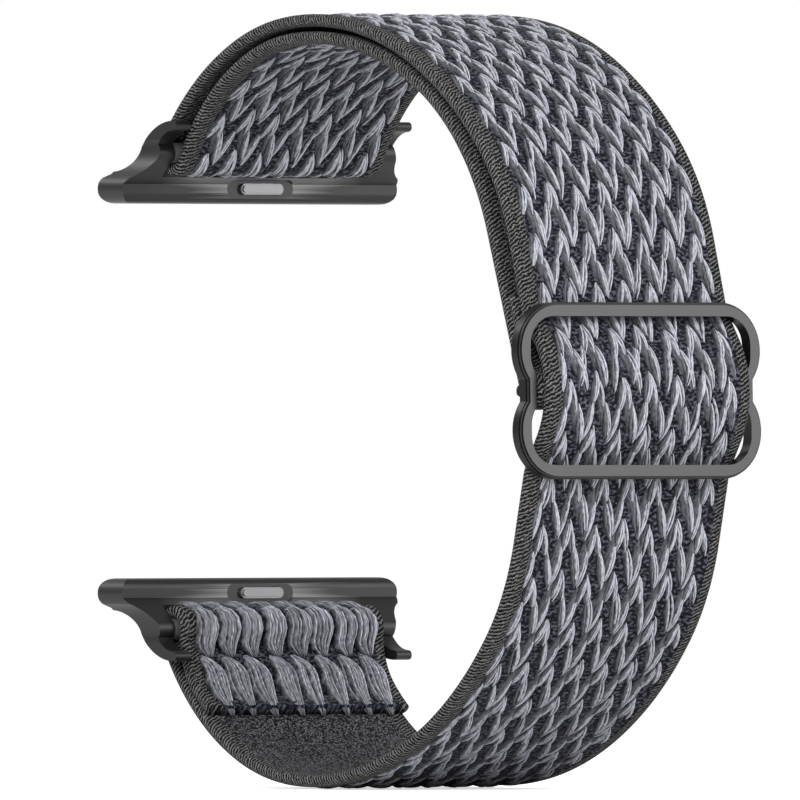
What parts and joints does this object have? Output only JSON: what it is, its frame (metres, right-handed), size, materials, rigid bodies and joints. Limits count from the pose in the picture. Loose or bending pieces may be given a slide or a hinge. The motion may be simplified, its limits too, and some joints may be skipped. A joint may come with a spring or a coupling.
{
  "type": "elastic nylon watch strap",
  "caption": "Stretch webbing watch strap loop with a two-window sliding buckle and two sprung metal adapters that slide into a watch case.",
  "frame": {"origin": "centre of the webbing loop, where the wrist goes", "axes": "+X from the watch case to the slider, +Y across the strap, +Z towards the case's 12 o'clock end"},
  "size_m": [0.0598, 0.03, 0.067],
  "materials": {
    "webbing": "elastic nylon webbing, light grey zigzag yarn on near-black ground, ribbed dark grey edges",
    "coated_steel": "satin dark grey coating on steel",
    "bar_steel": "plain turned steel",
    "latch_steel": "satin steel",
    "spring_steel": "bright spring wire"
  },
  "bodies": {
    "band": {"lower_webbing_end": "webbing", "lower_webbing_run": "webbing", "upper_webbing_run": "webbing", "upper_webbing_loop": "webbing", "return_webbing_run": "webbing"},
    "slider": {"slider_buckle": "coated_steel", "slider_webbing": "webbing", "slider_webbing_fold": "webbing"},
    "upper_adapter": {"upper_adapter": "coated_steel", "upper_bar_tube": "bar_steel", "upper_bar_spring": "spring_steel", "upper_latch_cover": "latch_steel", "upper_latch_springs": "spring_steel"},
    "upper_tip_near": {"upper_bar_tip_near": "bar_steel"},
    "upper_tip_far": {"upper_bar_tip_far": "bar_steel"},
    "upper_latch": {"upper_latch_button": "latch_steel"},
    "lower_adapter": {"lower_adapter": "coated_steel", "lower_bar_tube": "bar_steel", "lower_bar_spring": "spring_steel", "lower_latch_cover": "latch_steel", "lower_latch_springs": "spring_steel"},
    "lower_tip_near": {"lower_bar_tip_near": "bar_steel"},
    "lower_tip_far": {"lower_bar_tip_far": "bar_steel"},
    "lower_latch": {"lower_latch_button": "latch_steel"}
  },
  "joints": [
    {"name": "slider_slide", "type": "hinge", "parent": "band", "child": "slider", "pos_m": [0, 0, 0], "axis": [0, 1, 0], "range_deg": [-25, 25], "deforming": ["lower_webbing_run", "upper_webbing_run", "return_webbing_run"]},
    {"name": "upper_adapter_pivot", "type": "hinge", "parent": "band", "child": "upper_adapter", "pos_m": [-0.0198, 0, 0.0216], "axis": [0, 1, 0], "range_deg": [-40, 40]},
    {"name": "upper_tip_near_press", "type": "slide", "parent": "upper_adapter", "child": "upper_tip_near", "axis": [0, 1, 0], "range_m": [0, 0.001], "stiffness_N_per_m": 150, "springref_m": -0.003, "deforming": ["upper_bar_spring"]},
    {"name": "upper_tip_far_press", "type": "slide", "parent": "upper_adapter", "child": "upper_tip_far", "axis": [0, -1, 0], "range_m": [0, 0.001], "stiffness_N_per_m": 150, "springref_m": -0.003, "deforming": ["upper_bar_spring"]},
    {"name": "upper_latch_press", "type": "slide", "parent": "upper_adapter", "child": "upper_latch", "axis": [-1, 0, 0], "range_m": [0, 0.0006], "stiffness_N_per_m": 300, "springref_m": -0.002, "deforming": ["upper_latch_springs"]},
    {"name": "lower_adapter_pivot", "type": "hinge", "parent": "band", "child": "lower_adapter", "pos_m": [-0.0198, 0, -0.0199], "axis": [0, 1, 0], "range_deg": [-40, 40]},
    {"name": "lower_tip_near_press", "type": "slide", "parent": "lower_adapter", "child": "lower_tip_near", "axis": [0, 1, 0], "range_m": [0, 0.001], "stiffness_N_per_m": 150, "springref_m": -0.003, "deforming": ["lower_bar_spring"]},
    {"name": "lower_tip_far_press", "type": "slide", "parent": "lower_adapter", "child": "lower_tip_far", "axis": [0, -1, 0], "range_m": [0, 0.001], "stiffness_N_per_m": 150, "springref_m": -0.003, "deforming": ["lower_bar_spring"]},
    {"name": "lower_latch_press", "type": "slide", "parent": "lower_adapter", "child": "lower_latch", "axis": [-1, 0, 0], "range_m": [0, 0.0006], "stiffness_N_per_m": 300, "springref_m": -0.002, "deforming": ["lower_latch_springs"]}
  ]
}
